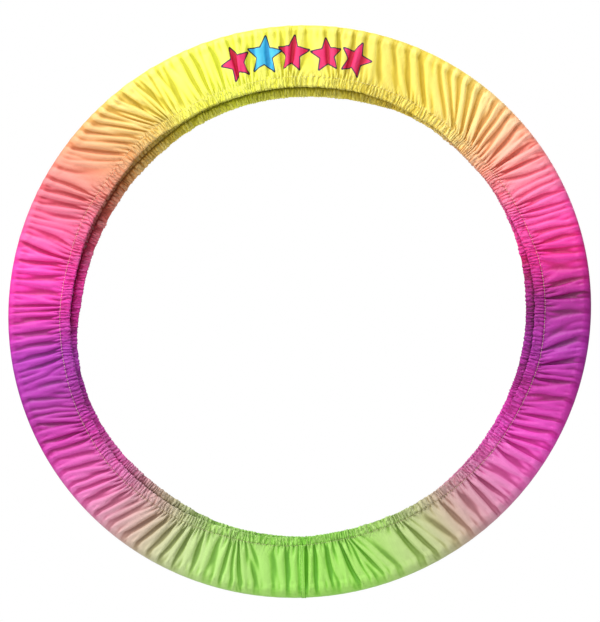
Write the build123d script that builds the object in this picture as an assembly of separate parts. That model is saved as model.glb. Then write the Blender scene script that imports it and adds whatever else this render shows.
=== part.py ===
from build123d import *
import os
from math import degrees

os.makedirs("parts", exist_ok=True)

# A rhythmic gymnastics hoop inside its elastic-edged fabric cover, in millimetres.
# The hoop hangs upright with its centre at the origin and turns about Y. The front of the
# cover faces -Y and its top is towards +Z. Every ring starts as a section in the XY plane,
# with the radius along X, and is turned about Y. The cloth solids are the envelope of the
# gathered cloth, which is thicker than the cloth itself.

# the hoop: a plastic tube bent to a ring, plugged and riveted where its ends meet
HOOP_INSIDE_DIAMETER = 800.0
TUBE_DIAMETER = 19.0
TUBE_WALL = 2.4
BUTT_GAP = 0.3
JOINT_ANGLE = 135.0  # clockwise from +X, seen from the front
PLUG_LENGTH = 60.0
PLUG_INTERFERENCE = 0.05  # on the radius
RIVET_DIAMETER = 3.0
RIVET_DEPTH = 15.0  # from the tube's skin to the rivet's tip
RIVET_HEAD_DIAMETER = 6.0
RIVET_HEAD_HEIGHT = 1.0
RIVET_FROM_BUTT = 15.0

# the cover's cloth, taut round the outside of the tube and gathered on both sides
COVER_CLEARANCE = 0.5
CLOTH_WRAP = 0.9
FRONT_DEPTH = 89.4  # from the rim to the inner edge of the front hem
BACK_DEPTH = 99.4
PANEL_AT_HEM = 2.0  # thickness of the panels where the gathers are deepest
SEAM_WIDTH = 6.5
SEAM_ANGLE = 88.85  # clockwise from +X: just right of the bottom

# the two hems: sewn channels with a band of elastic in each
ELASTIC_WIDTH = 12.0
ELASTIC_THICKNESS = 1.1
ELASTIC_LAP = 15.0
CHANNEL_SPARE_WIDTH = 2.4
CHANNEL_SPARE_DEPTH = 0.6  # over two layers of elastic
HEM_WALL = 0.8
HEM_CORNER = 1.2
HEM_SLIP_GAP = 0.3  # between a hem and its panel

# sewing thread
THREAD_DIAMETER = 0.6
HEM_STITCH_INSET = 1.5  # from the hem's outer edge
SEAM_STITCH_OFFSET = 1.8  # from the middle of the seam

TUBE_RADIUS = TUBE_DIAMETER / 2
BORE_RADIUS = TUBE_RADIUS - TUBE_WALL
RING_RADIUS = HOOP_INSIDE_DIAMETER / 2 + TUBE_RADIUS
WRAP_INSIDE = TUBE_RADIUS + COVER_CLEARANCE
WRAP_OUTSIDE = WRAP_INSIDE + CLOTH_WRAP

HEM_WIDTH = ELASTIC_WIDTH + CHANNEL_SPARE_WIDTH + 2 * HEM_WALL
HEM_THICKNESS = 2 * ELASTIC_THICKNESS + CHANNEL_SPARE_DEPTH + 2 * HEM_WALL

SIDES = {"front": -1, "back": 1}  # which way along Y each half of the cover lies
HEM_INSIDE_RADIUS = {
    "front": RING_RADIUS + WRAP_OUTSIDE - FRONT_DEPTH,
    "back": RING_RADIUS + WRAP_OUTSIDE - BACK_DEPTH,
}


def ring(section):
    """A full turn of a section about the hoop's axis."""
    return revolve(section, Axis.Y, 360)


def arc_piece(section, radius, length, angle):
    """Part of a ring, of a length measured at a radius, with its middle at an angle."""
    sweep_angle = degrees(length / radius)
    return Rot(0, angle - sweep_angle / 2, 0) * revolve(section, Axis.Y, sweep_angle)


def on_tube(angle):
    """A place on the tube's centre line: X points outwards and Z along the tube."""
    return Rot(0, angle, 0) * Pos(RING_RADIUS, 0, 0)


def tube_section(radius):
    """A disc centred on the tube."""
    return Pos(RING_RADIUS, 0) * Circle(radius)


def rivets():
    """Two rivets, driven from inside the ring through one wall of the tube into the plug."""
    base = (Align.CENTER, Align.CENTER, Align.MIN)
    sunk = RIVET_HEAD_HEIGHT / 2
    shank = Pos(0, 0, -sunk) * Cylinder(RIVET_DIAMETER / 2, RIVET_DEPTH + sunk, align=base)
    head = Cylinder(RIVET_HEAD_DIAMETER / 2, RIVET_HEAD_HEIGHT + TUBE_WALL, align=base)
    crown = head.faces().sort_by(Axis.Z)[0].edges()
    head = Pos(0, 0, -RIVET_HEAD_HEIGHT) * fillet(crown, 0.6 * RIVET_HEAD_HEIGHT)
    offset = degrees(RIVET_FROM_BUTT / RING_RADIUS)
    placed = []
    for angle in (JOINT_ANGLE - offset, JOINT_ANGLE + offset):
        place = on_tube(angle) * Pos(-TUBE_RADIUS, 0, 0) * Rot(0, 90, 0)
        placed.append((place * head) - ring(tube_section(TUBE_RADIUS)) + (place * shank))
    return placed


def joint_plug(driven):
    """The curved rod that joins the tube's two ends."""
    rod = arc_piece(
        tube_section(BORE_RADIUS + PLUG_INTERFERENCE), RING_RADIUS, PLUG_LENGTH, JOINT_ANGLE
    )
    for rivet in driven:
        rod -= rivet
    return rod


def hoop_tube(driven):
    """The tube, open at its butt joint."""
    tube = ring(tube_section(TUBE_RADIUS) - tube_section(BORE_RADIUS))
    tube -= on_tube(JOINT_ANGLE) * Box(2 * TUBE_DIAMETER, 2 * TUBE_DIAMETER, BUTT_GAP)
    for rivet in driven:
        tube -= rivet
    return tube


def wrap_section():
    """The cloth round the outer half of the tube."""
    outer_half = Pos(WRAP_OUTSIDE / 2, 0) * Rectangle(WRAP_OUTSIDE, 2 * WRAP_OUTSIDE)
    return Pos(RING_RADIUS, 0) * ((Circle(WRAP_OUTSIDE) - Circle(WRAP_INSIDE)) & outer_half)


def panel_section(side):
    """A gathered panel, from the tube to its hem, flat outside and thicker at the hem."""
    y = SIDES[side]
    hem_edge = HEM_INSIDE_RADIUS[side] + HEM_WIDTH + HEM_SLIP_GAP
    outline = Polyline(
        (RING_RADIUS, y * WRAP_OUTSIDE),
        (RING_RADIUS, y * WRAP_INSIDE),
        (hem_edge, y * (WRAP_OUTSIDE - PANEL_AT_HEM)),
        (hem_edge, y * WRAP_OUTSIDE),
        close=True,
    )
    return make_face(outline)


def seam_zone():
    """The strip across the cover where its two ends are joined."""
    reach = RING_RADIUS + WRAP_OUTSIDE
    return Rot(0, SEAM_ANGLE, 0) * Pos(reach / 2, 0, 0) * Box(
        1.1 * reach, 4 * WRAP_OUTSIDE, SEAM_WIDTH
    )


def end_seam():
    """The doubled cloth of the end seam, from the front hem round the tube to the back hem."""
    skin = ring(wrap_section()) + ring(panel_section("front")) + ring(panel_section("back"))
    return skin & seam_zone()


def end_seam_stitching():
    """One row of thread along the seam, half sunk in the cloth."""
    ends = {
        side: HEM_INSIDE_RADIUS[side] + HEM_WIDTH + HEM_SLIP_GAP + THREAD_DIAMETER
        for side in SIDES
    }
    run = Line((ends["front"], -WRAP_OUTSIDE), (RING_RADIUS, -WRAP_OUTSIDE))
    turn = CenterArc((RING_RADIUS, 0), WRAP_OUTSIDE, -90, 180)
    back = Line((RING_RADIUS, WRAP_OUTSIDE), (ends["back"], WRAP_OUTSIDE))
    row = sweep(Plane(run @ 0, z_dir=run % 0) * Circle(THREAD_DIAMETER / 2), run + turn + back)
    return Rot(0, SEAM_ANGLE, 0) * Pos(0, 0, -SEAM_STITCH_OFFSET) * row


def hem_middle(side):
    """How far along Y a hem's middle lies."""
    return SIDES[side] * (WRAP_OUTSIDE - HEM_THICKNESS / 2)


def hem(side):
    """A closed channel of doubled cloth with its outer face level with the panel's."""
    outer = RectangleRounded(HEM_WIDTH, HEM_THICKNESS, HEM_CORNER)
    inner = RectangleRounded(
        HEM_WIDTH - 2 * HEM_WALL, HEM_THICKNESS - 2 * HEM_WALL, HEM_CORNER - HEM_WALL
    )
    middle = Pos(HEM_INSIDE_RADIUS[side] + HEM_WIDTH / 2, hem_middle(side))
    return ring(middle * (outer - inner))


def elastic_section(side, layer):
    """The band's section against the channel's inner edge: layer -1 is the band, 1 its lap."""
    radius = HEM_INSIDE_RADIUS[side] + HEM_WALL + ELASTIC_WIDTH / 2
    y = hem_middle(side) - SIDES[side] * layer * ELASTIC_THICKNESS / 2
    return Pos(radius, y) * Rectangle(ELASTIC_WIDTH, ELASTIC_THICKNESS)


def elastic_lap(side):
    """The end of the band, laid over its start and sewn to it."""
    radius = HEM_INSIDE_RADIUS[side] + HEM_WALL + ELASTIC_WIDTH / 2
    return arc_piece(elastic_section(side, 1), radius, ELASTIC_LAP, SEAM_ANGLE)


def hem_stitching(side):
    """The row of thread that closes the channel, half sunk in its outer face."""
    radius = HEM_INSIDE_RADIUS[side] + HEM_WIDTH - HEM_STITCH_INSET
    return ring(Pos(radius, SIDES[side] * WRAP_OUTSIDE) * Circle(THREAD_DIAMETER / 2))


driven_rivets = rivets()
nodes = {
    "hoop_tube": hoop_tube(driven_rivets),
    "joint_plug": joint_plug(driven_rivets),
    "joint_rivets": Compound(children=driven_rivets),
    "cover_rim": ring(wrap_section()) - seam_zone(),
    "end_seam": end_seam(),
    "end_seam_stitching": end_seam_stitching(),
}
for name in SIDES:
    nodes[f"{name}_panel"] = ring(panel_section(name)) - seam_zone()
    nodes[f"{name}_hem"] = hem(name)
    nodes[f"{name}_hem_stitching"] = hem_stitching(name)
    nodes[f"{name}_elastic"] = ring(elastic_section(name, -1))
    nodes[f"{name}_elastic_lap"] = elastic_lap(name)

for node, shape in nodes.items():
    export_step(shape, f"parts/{node}.step")
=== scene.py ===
"""Rhythmic gymnastics hoop inside its gathered cloth cover, dressed round the CAD frame.

Lengths are millimetres unless a name or a docstring says metres. Angles are radians,
clockwise from the top as the front of the cover shows them. The cloth's own coordinates
are `along`, clockwise from the end seam at the bottom, and `across`, from the outermost
line of the rim towards a hem.
"""

import logging
import math
from dataclasses import dataclass, field
from enum import Enum

import bpy
import numpy as np
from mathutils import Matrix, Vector


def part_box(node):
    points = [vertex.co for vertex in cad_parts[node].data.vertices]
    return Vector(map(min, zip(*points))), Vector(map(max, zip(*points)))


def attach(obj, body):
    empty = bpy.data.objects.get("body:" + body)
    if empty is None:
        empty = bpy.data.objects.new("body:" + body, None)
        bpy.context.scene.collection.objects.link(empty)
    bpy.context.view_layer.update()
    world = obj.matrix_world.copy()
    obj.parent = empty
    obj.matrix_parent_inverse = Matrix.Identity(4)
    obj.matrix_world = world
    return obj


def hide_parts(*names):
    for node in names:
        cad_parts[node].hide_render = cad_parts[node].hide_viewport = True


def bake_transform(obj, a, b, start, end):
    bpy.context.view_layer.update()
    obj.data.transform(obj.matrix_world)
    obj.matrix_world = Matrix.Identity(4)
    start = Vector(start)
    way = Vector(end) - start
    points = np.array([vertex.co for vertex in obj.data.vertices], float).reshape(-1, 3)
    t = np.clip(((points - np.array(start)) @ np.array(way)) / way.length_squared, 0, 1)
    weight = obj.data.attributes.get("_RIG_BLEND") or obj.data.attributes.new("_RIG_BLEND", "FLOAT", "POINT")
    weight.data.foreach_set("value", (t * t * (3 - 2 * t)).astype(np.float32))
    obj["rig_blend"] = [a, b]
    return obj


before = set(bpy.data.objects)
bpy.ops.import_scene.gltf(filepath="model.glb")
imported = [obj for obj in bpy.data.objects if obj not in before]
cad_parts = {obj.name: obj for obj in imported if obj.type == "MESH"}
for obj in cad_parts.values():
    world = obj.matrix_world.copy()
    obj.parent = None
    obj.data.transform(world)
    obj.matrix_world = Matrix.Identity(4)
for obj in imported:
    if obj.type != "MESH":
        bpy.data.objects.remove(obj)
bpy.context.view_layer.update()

LOG = logging.getLogger("hoop_cover")
MM = 0.001
TURN = 2 * math.pi
SEED = 20
SETTLE_STEPS = 130
CLOTH_PROUD = 0.2  # how far the cloth's own crinkle holds it off the tube
NOISE_SPAN = {1: 0.3, 2: 0.7}  # map range inputs that take in nearly all of a noise
WAVE_RATE = 20  # radians of a wave texture for each unit of its scale
Shade = bpy.types.NodeSocket
Links = dict[str | int, object]


class Side(Enum):
    """The two halves of the cover, with the way along Y in which each one lies."""

    FRONT = -1
    BACK = 1

    @property
    def label(self) -> str:
        """The side's name as the CAD nodes and bodies spell it."""
        return self.name.lower()


class Hold(Enum):
    """How a sheet of cloth is held."""

    GATHERED = "gathered"
    FOLDED = "folded"


# ---------------------------------------------------------------- sizes


@dataclass(frozen=True)
class RingSizes:
    """Sizes of the rings, read from the CAD nodes.

    Attributes:
        centre: radius of the tube's centre line.
        wrap: distance from that line to the cloth on the tube.
        face: how far along Y the hems' outer faces lie.
        hem_outer: radius of each hem's outer edge.
        elastic_layer: thickness of one layer of elastic.
        seam_clock: the end seam's angle, clockwise from the top.
        stitch_inset: from a hem's outer edge to its row of thread.
    """

    centre: float
    wrap: float
    face: float
    hem_outer: dict[Side, float]
    elastic_layer: float
    seam_clock: float
    stitch_inset: float = 1.5

    @classmethod
    def from_frame(cls) -> "RingSizes":
        """Measure the CAD nodes.

        Returns:
            The sizes in millimetres.
        """
        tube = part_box("hoop_tube")[1] / MM
        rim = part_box("cover_rim")[1] / MM
        elastic = [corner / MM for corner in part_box("front_elastic")]
        seam = sum(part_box("front_elastic_lap"), Vector()) / 2
        return cls(
            centre=tube.x - tube.y,
            wrap=0.5 * (tube.y + rim.y) + CLOTH_PROUD,
            face=rim.y,
            hem_outer={side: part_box(f"{side.label}_hem")[1].x / MM for side in Side},
            elastic_layer=elastic[1].y - elastic[0].y,
            seam_clock=math.atan2(seam.x, seam.z) % TURN,
        )

    @property
    def rim(self) -> float:
        """Radius of the cloth's outermost line."""
        return self.centre + self.wrap

    @property
    def strip_length(self) -> float:
        """Length of the strip of cloth that the cover is made from."""
        return TURN * self.rim

    def stitch_row(self, side: Side) -> float:
        """Radius of the row of thread that closes a hem."""
        return self.hem_outer[side] - self.stitch_inset


@dataclass(frozen=True)
class Pull:
    """A stretch of hem that has slid along, and drags the folds with it.

    Attributes:
        clock: its middle, degrees clockwise from the top.
        spread: its half width in degrees.
        slide: how far the hem has slid clockwise.
    """

    clock: float
    spread: float
    slide: float


@dataclass(frozen=True)
class FoldFamily:
    """Folds of about one width.

    Attributes:
        pitch: cloth taken up by one fold.
        variety: spread of the pitches, as a share.
        patch: length of cloth over which the pitch changes.
        lobed: 0 for round waves, 1 for broad puffs with narrow valleys.
    """

    pitch: float
    variety: float
    patch: float
    lobed: float


@dataclass(frozen=True)
class Wander:
    """Smooth unevenness along the cloth.

    Attributes:
        height: its root mean square.
        patch: length of the shortest wave in it.
    """

    height: float
    patch: float


@dataclass(frozen=True)
class GatherPlan:
    """How one half of the cover is gathered.

    Attributes:
        seed: seed of its random draws.
        pulls: where its hem has slid along.
        bulges: where its hem lies further out, with the slide as the distance.
        sag: how far the whole hem hangs to one side, and the way it hangs, in degrees.
        big: folds of the panel.
        middle: folds half way, where the big ones split.
        fine: gathers at the hem.
        slide_wander: unevenness of the hem's slide.
        bulge_wander: unevenness of its distance outwards.
        slope_wander: unevenness of the folds' steepness, as a share.
        drift_wander: how far the folds' phase drifts between the tube and the hem.
    """

    seed: int
    pulls: tuple[Pull, ...]
    bulges: tuple[Pull, ...]
    sag: tuple[float, float]
    big: FoldFamily = FoldFamily(pitch=23.0, variety=0.30, patch=36.0, lobed=0.9)
    middle: FoldFamily = FoldFamily(pitch=11.5, variety=0.30, patch=20.0, lobed=0.7)
    fine: FoldFamily = FoldFamily(pitch=6.6, variety=0.30, patch=12.0, lobed=0.8)
    slide_wander: Wander = Wander(2.4, 70)
    bulge_wander: Wander = Wander(0.5, 150)
    slope_wander: Wander = Wander(0.12, 30)
    drift_wander: Wander = Wander(1.4, 50)


FRONT_PLAN = GatherPlan(
    seed=3,
    pulls=(
        Pull(35, 9, 24),
        Pull(105, 12, 6),
        Pull(170, 18, 8),
        Pull(228, 15, -9),
        Pull(315, 7, 24),
    ),
    bulges=(
        Pull(95, 14, 4.0),
        Pull(228, 15, 8.0),
        Pull(258, 12, 4.0),
        Pull(47, 17, -7.5),
        Pull(160, 20, -6.0),
    ),
    sag=(7.2, 131),
)
BACK_PLAN = GatherPlan(
    seed=11,
    pulls=(
        Pull(60, 12, -18),
        Pull(140, 9, 20),
        Pull(205, 10, 12),
        Pull(290, 14, -22),
        Pull(340, 8, 10),
    ),
    bulges=(
        Pull(242, 13, 7.5),
        Pull(262, 10, 5.0),
        Pull(32, 15, 7.0),
        Pull(66, 9, 4.0),
        Pull(301, 16, -4.0),
        Pull(172, 20, 1.0),
    ),
    sag=(8.4, 142),
)


def bumps(clock: np.ndarray, pulls: tuple[Pull, ...]) -> np.ndarray:
    """Sum of the pulls' bell curves.

    Args:
        clock: angles clockwise from the top.
        pulls: the bells, with their heights in `slide`.

    Returns:
        The sum at each angle.
    """
    total = np.zeros_like(clock)
    for pull in pulls:
        away = (np.degrees(clock) - pull.clock + 180) % 360 - 180
        total += pull.slide * np.exp(-0.5 * (away / pull.spread) ** 2)
    return total


# ---------------------------------------------------------------- cloth


@dataclass
class ClothStrip:
    """Columns of cloth round the whole ring, and the random draws made along them.

    Attributes:
        sizes: sizes of the rings.
        columns: number of columns round the ring.
        rows_apart: cloth from one row to the next, across the strip.
    """

    sizes: RingSizes
    columns: int = 2112
    rows_apart: float = 2.0

    @property
    def step(self) -> float:
        """Cloth between two columns."""
        return self.sizes.strip_length / self.columns

    @property
    def along(self) -> np.ndarray:
        """Cloth coordinate of each column, clockwise from the end seam."""
        return np.arange(self.columns) * self.step

    @property
    def clock(self) -> np.ndarray:
        """Each column's angle on the rim, clockwise from the top."""
        return self.sizes.seam_clock + self.along / self.sizes.rim

    @property
    def top(self) -> float:
        """Cloth coordinate of the ring's top."""
        return (TURN - self.sizes.seam_clock) * self.sizes.rim

    def uneven(self, rng: np.random.Generator, wander: Wander) -> np.ndarray:
        """Draw an unevenness, with one value for each column."""
        return wander.height * self.wander(rng, wander.patch)

    def wander(self, rng: np.random.Generator, patch: float) -> np.ndarray:
        """Smooth noise that meets itself round the ring.

        Args:
            rng: source of the draws.
            patch: length of the shortest wave in it.

        Returns:
            One value for each column, with a mean square of 1.
        """
        waves = max(int(self.sizes.strip_length / patch), 3)
        phases = rng.uniform(0, TURN, waves)
        heights = rng.normal(0, 1, waves)
        order = np.arange(1, waves + 1)
        angle = np.outer(self.along / self.sizes.rim, order) + phases
        noise = np.cos(angle) @ heights
        return noise / np.sqrt((noise**2).mean())

    def fold_phase(self, rng: np.random.Generator, family: FoldFamily) -> np.ndarray:
        """Phase of a family of folds, with a whole number of folds round the ring.

        Args:
            rng: source of the draws.
            family: the folds.

        Returns:
            The phase at each column in radians.
        """
        pitch = family.pitch * np.exp(family.variety * self.wander(rng, family.patch))
        rate = 1 / pitch
        total = rate.sum() * self.step
        rate *= round(total) / total
        return TURN * np.cumsum(rate) * self.step


def fold_profile(phase: np.ndarray, lobed: float) -> np.ndarray:
    """Height of a fold across its width.

    Args:
        phase: place in the fold, in radians.
        lobed: 0 for a round wave, 1 for a broad puff with narrow valleys.

    Returns:
        Heights from about -1 to 1.
    """
    puff = 2 * np.sqrt(np.sin(phase / 2) ** 2 + 0.004) - 1.2
    return (1 - lobed) * np.sin(phase) + lobed * puff


@dataclass
class GatheredPanel:
    """One half of the cover's cloth, from the outermost line of the rim to a hem's thread.

    The cloth keeps its length in both directions, so its spare length round the smaller
    radius stands up in folds. It is laid in rough folds and then settled by position-based
    dynamics with a light stiffness, resting on the tube.

    Attributes:
        strip: the columns of cloth.
        side: the half of the cover.
        plan: how it is gathered.
        settle_steps: steps of the solver.
        speed_kept: share of its speed that a point keeps from one step to the next.
        stiffness_round: resistance to bending round the ring.
        stiffness_across: resistance to bending across the cloth.
        shear_stiffness: share of a diagonal's error that a step puts right.
        slack: spare length round the ring beyond the flat size, to fill out the folds.
        slack_from: distance from the outermost line at which the slack begins.
        slack_over: distance over which it comes in.
        slide_share: how much of the height that a slide takes draws the hem outwards.
        slide_most: the most of a slide's square, as a share of the panel's.
        slide_calm: distance along the cloth in which the end seam keeps the hem from sliding.
        seam_calm: distance in which it holds the folds down.
        fine_reach: distance from the hem in which its fine gathers fade.
        fine_boost: how much steeper than planned the fine gathers are.
        split: weight of the middle folds, their distance from the hem, and its spread.
        grows_over: share of the way to the hem over which the cloth lifts off its flat line.
        lifted: how far it lifts.
        sunk: how far it sinks again towards the hem.
        droop: how far a crest leans downhill, as a share of its height.
        tension: length of the threads across, as a share of the path that they lie on.
        carried: height of the folds that run on over the tube, as a share of that beside it.
        carried_above: crests counted as folds, from this many mean heights below the middle.
        carried_waves: waves round the ring between which folds are carried.
        carried_from: distance inside the tube's crown at which their height is taken.
        carried_to: distance from the outermost line at which they have come in.
        tuck_at: place of the tuck beside the end seam, along the cloth.
        tuck_depth: its depth.
        tuck_width: its half width.
        tuck_rise: how many times quicker than the way to the hem it comes in.
        tuck_end: distance from the hem over which it ends.
        points: the cloth's points, as (columns, rows, 3).
        fine_phase: phase of the fine gathers at each column.
    """

    strip: ClothStrip
    side: Side
    plan: GatherPlan
    settle_steps: int = SETTLE_STEPS
    speed_kept: float = 0.92
    stiffness_round: float = 0.007
    stiffness_across: float = 0.03
    shear_stiffness: float = 0.35
    slack: float = 0.036
    slack_from: float = 1.0
    slack_over: float = 6.0
    slide_share: float = 0.35
    slide_most: float = 0.5
    slide_calm: float = 28.0
    seam_calm: float = 9.0
    fine_reach: float = 13.0
    fine_boost: float = 1.25
    split: tuple[float, float, float] = (0.45, 14.0, 9.0)
    grows_over: float = 3.0
    lifted: float = 1.2
    sunk: float = 0.4
    droop: float = 0.5
    tension: float = 0.996
    carried: float = 1.35
    carried_above: float = 0.8
    carried_waves: tuple[int, int] = (24, 260)
    carried_from: float = 7.0
    carried_to: float = 5.0
    tuck_at: float = -5.6
    tuck_depth: float = 3.4
    tuck_width: float = 1.6
    tuck_rise: float = 5.0
    tuck_end: float = 4.0
    points: np.ndarray = field(init=False)
    fine_phase: np.ndarray = field(init=False)

    def __post_init__(self) -> None:
        """Work out the rows across the cloth."""
        sizes = self.strip.sizes
        self.quarter = sizes.wrap * math.pi / 2
        self.span = sizes.centre - sizes.stitch_row(self.side)
        self.rows = round((self.quarter + self.span) / self.strip.rows_apart) + 1
        self.row_step = (self.quarter + self.span) / (self.rows - 1)
        self.across = np.arange(self.rows) * self.row_step
        turn = np.minimum(self.across, self.quarter) / sizes.wrap
        on_tube = self.across < self.quarter
        flat = np.maximum(self.across - self.quarter, 0)
        self.radius = np.where(on_tube, sizes.centre + sizes.wrap * np.cos(turn), sizes.centre - flat)
        self.out = np.where(on_tube, sizes.wrap * np.sin(turn), sizes.wrap)
        self.share = np.clip(flat / self.span, 0, 1)
        loose = np.clip((self.across - self.slack_from) / self.slack_over, 0, 1)
        self.thread_length = self.strip.step * (1 + self.slack * loose)[:, None]

    def hem_slide(self, rng: np.random.Generator) -> tuple[np.ndarray, np.ndarray]:
        """How the hem lies compared with a plain circle.

        Args:
            rng: source of the draws.

        Returns:
            The slide along the ring and the step outwards, at each column.
        """
        slide = bumps(self.strip.clock, self.plan.pulls)
        slide += self.strip.uneven(rng, self.plan.slide_wander)
        leaned = np.minimum(slide**2, self.slide_most * self.span**2)
        drawn_in = self.span - np.sqrt(self.span**2 - leaned)
        outwards = self.slide_share * drawn_in + bumps(self.strip.clock, self.plan.bulges)
        outwards += self.strip.uneven(rng, self.plan.bulge_wander)
        distance, way = self.plan.sag
        outwards += distance * np.cos(self.strip.clock - math.radians(way))
        return slide, outwards

    def lay(self) -> None:
        """Lay the cloth in rough folds, which settle() then works on."""
        strip, plan, rng = self.strip, self.plan, np.random.default_rng(self.plan.seed + SEED)
        longer = self.thread_length[:, 0] / strip.step
        spare = np.maximum(longer * strip.sizes.rim / self.radius - 1, 0)
        to_hem = (1 - self.share) * self.span
        weight, place_of_split, spread = self.split
        weights = {
            "fine": np.exp(-to_hem / self.fine_reach),
            "middle": weight * np.exp(-0.5 * ((to_hem - place_of_split) / spread) ** 2),
        }
        weights["big"] = 1 - weights["fine"]
        total = sum(weights.values())
        families = {"big": plan.big, "middle": plan.middle, "fine": plan.fine}
        phases = {name: strip.fold_phase(rng, family) for name, family in families.items()}
        self.fine_phase = phases["fine"]
        slide, outwards = self.hem_slide(rng)
        from_seam = np.minimum(strip.along, strip.sizes.strip_length - strip.along)
        slide = slide * (1 - np.exp(-0.5 * (from_seam / self.slide_calm) ** 2))
        taken = self.quarter + np.hypot(self.span - outwards, slide)
        self.row_steps = (self.tension * taken / (self.rows - 1))[:, None, None]
        calm = 1 - np.exp(-0.5 * (from_seam / self.seam_calm) ** 2)[:, None]
        height = np.zeros((strip.columns, self.rows))
        shift = np.zeros((strip.columns, self.rows))
        for name, phase in phases.items():
            family = families[name]
            slope = np.sqrt(4 * spare * weights[name] / total)[None, :]
            slope = slope * (1 + strip.uneven(rng, plan.slope_wander)[:, None])
            slope = slope * (self.fine_boost if name == "fine" else calm)
            drift = strip.uneven(rng, plan.drift_wander)[:, None] * (self.share[None, :] - 0.5)
            length = family.pitch / np.sqrt(1 + spare)[None, :]
            place = phase[:, None] + drift
            height += slope * length / TURN * fold_profile(place, family.lobed)
            # a thread that climbs a fold covers less ground, most of all on its flanks
            shift -= slope**2 * length / TURN / 8 * np.sin(2 * place)
        grow = np.clip(self.share * self.grows_over, 0, 1)
        lift = self.lifted * grow * (1 - self.share) - self.sunk * self.share
        radius = self.radius[None, :] + outwards[:, None] * self.share[None, :]
        shift = shift * calm
        shift += self.droop * height * np.sin(strip.clock)[:, None]
        clock = strip.clock[:, None] + (slide[:, None] * self.share[None, :] + shift) / radius
        out = self.out[None, :] + height + lift[None, :]
        self.points = ring_points(clock, radius, out * self.side.value).astype(np.float32)

    def settle(self) -> None:
        """Let the cloth find its folds."""
        points = self.points
        free = np.ones((self.strip.columns, self.rows, 1), np.float32)
        free[:, 0] = 0
        free[:, -1] = 0
        diagonal = np.hypot(self.thread_length, self.row_steps)
        leaning = {1: diagonal[:, :-1], -1: diagonal[:, 1:]}
        level = np.broadcast_to(self.thread_length, diagonal.shape)
        before = points.copy()
        for _ in range(self.settle_steps):
            speed = (points - before) * self.speed_kept
            before = points.copy()
            points = points + speed * free
            points -= self.stiffness_round * free * bend_round(points)
            points -= self.stiffness_across * free * bend_across(points)
            for start in (0, 1):
                pull_round(points, free, start, 0, level, 1.0)
            for start in (0, 1):
                pull_across(points, free, start, self.row_steps)
            for start in (0, 1):
                for lean in (1, -1):
                    pull_round(points, free, start, lean, leaning[lean], self.shear_stiffness)
            self.rest_on_tube(points)
        self.points = points.astype(float)
        self.carry_over_tube()

    def carry_over_tube(self) -> None:
        """Let the folds run on over the tube, and lay the tuck beside the end seam."""
        points = self.points
        row = int(np.searchsorted(self.across, self.quarter + self.carried_from))
        stand = points[:, row, 1] * self.side.value
        broad, narrow = self.carried_waves
        stand = smooth_round(stand, narrow) - smooth_round(stand, broad)
        fold = np.maximum(stand + self.carried_above * stand.std(), 0) * self.carried
        share = np.clip(self.across / self.carried_to, 0, 1) * (self.across <= self.across[row])
        share = smooth_step(share)
        fade = np.clip((self.across[row] - self.across) / self.carried_from, 0, 1)
        lifted = fold[:, None] * (share * fade)[None, :]
        length = self.strip.sizes.strip_length
        from_tuck = (self.strip.along - self.tuck_at + length / 2) % length - length / 2
        tuck = self.tuck_depth * np.exp(-((from_tuck / self.tuck_width) ** 2))
        begins = np.clip(self.share * self.tuck_rise, 0, 1)
        ends = np.clip((self.across[-1] - self.across) / self.tuck_end, 0, 1)
        lifted = lifted - tuck[:, None] * begins * ends
        points[..., 1] += self.side.value * lifted

    def rest_on_tube(self, points: np.ndarray) -> None:
        """Push the cloth out of the tube.

        Args:
            points: the cloth's points, changed in place.
        """
        sizes = self.strip.sizes
        ring = np.hypot(points[..., 0], points[..., 2])
        away = ring - sizes.centre
        gap = np.hypot(away, points[..., 1])
        grow = np.maximum(sizes.wrap / np.maximum(gap, 0.001), 1)
        scale = (sizes.centre + away * grow) / ring
        points[..., 0] *= scale
        points[..., 1] *= grow
        points[..., 2] *= scale

    def build(self) -> "GatheredPanel":
        """Lay and settle the cloth.

        Returns:
            The panel itself.
        """
        self.lay()
        self.settle()
        return self

    def outward(self) -> np.ndarray:
        """The way out of the cloth, as it would be without folds.

        Returns:
            A unit vector at each column and row.
        """
        clock = np.arctan2(self.points[..., 0], self.points[..., 2])
        turn = np.minimum(self.across, self.quarter) / self.strip.sizes.wrap
        return ring_points(clock, np.cos(turn)[None, :] + 0 * clock, self.side.value * np.sin(turn)[None, :])

    def at(self, along: float, rows: np.ndarray) -> np.ndarray:
        """Points of the cloth along one line across it.

        Args:
            along: the line's cloth coordinate, which may be negative.
            rows: points of each column, as (columns, rows, 3).

        Returns:
            The points on the line.
        """
        place = along / self.strip.step
        low = math.floor(place)
        part = place - low
        first, second = rows[low % self.strip.columns], rows[(low + 1) % self.strip.columns]
        return (1 - part) * first + part * second


def smooth_step(share: np.ndarray) -> np.ndarray:
    """A share from 0 to 1, eased in and out."""
    return share * share * (3 - 2 * share)


def ring_points(clock: np.ndarray, radius: np.ndarray, axial: np.ndarray) -> np.ndarray:
    """Points from ring coordinates.

    Args:
        clock: angles clockwise from the top.
        radius: distances from the hoop's axis.
        axial: places along Y.

    Returns:
        The points, with X, Y and Z last.
    """
    clock, radius, axial = np.broadcast_arrays(clock, radius, axial)
    return np.stack((radius * np.sin(clock), axial, radius * np.cos(clock)), axis=-1)


def bend_round(points: np.ndarray) -> np.ndarray:
    """Resistance to bending round the ring.

    Args:
        points: the cloth's points.

    Returns:
        The fourth difference at each point.
    """
    second = np.roll(points, 1, 0) + np.roll(points, -1, 0) - 2 * points
    return np.roll(second, 1, 0) + np.roll(second, -1, 0) - 2 * second


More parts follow.
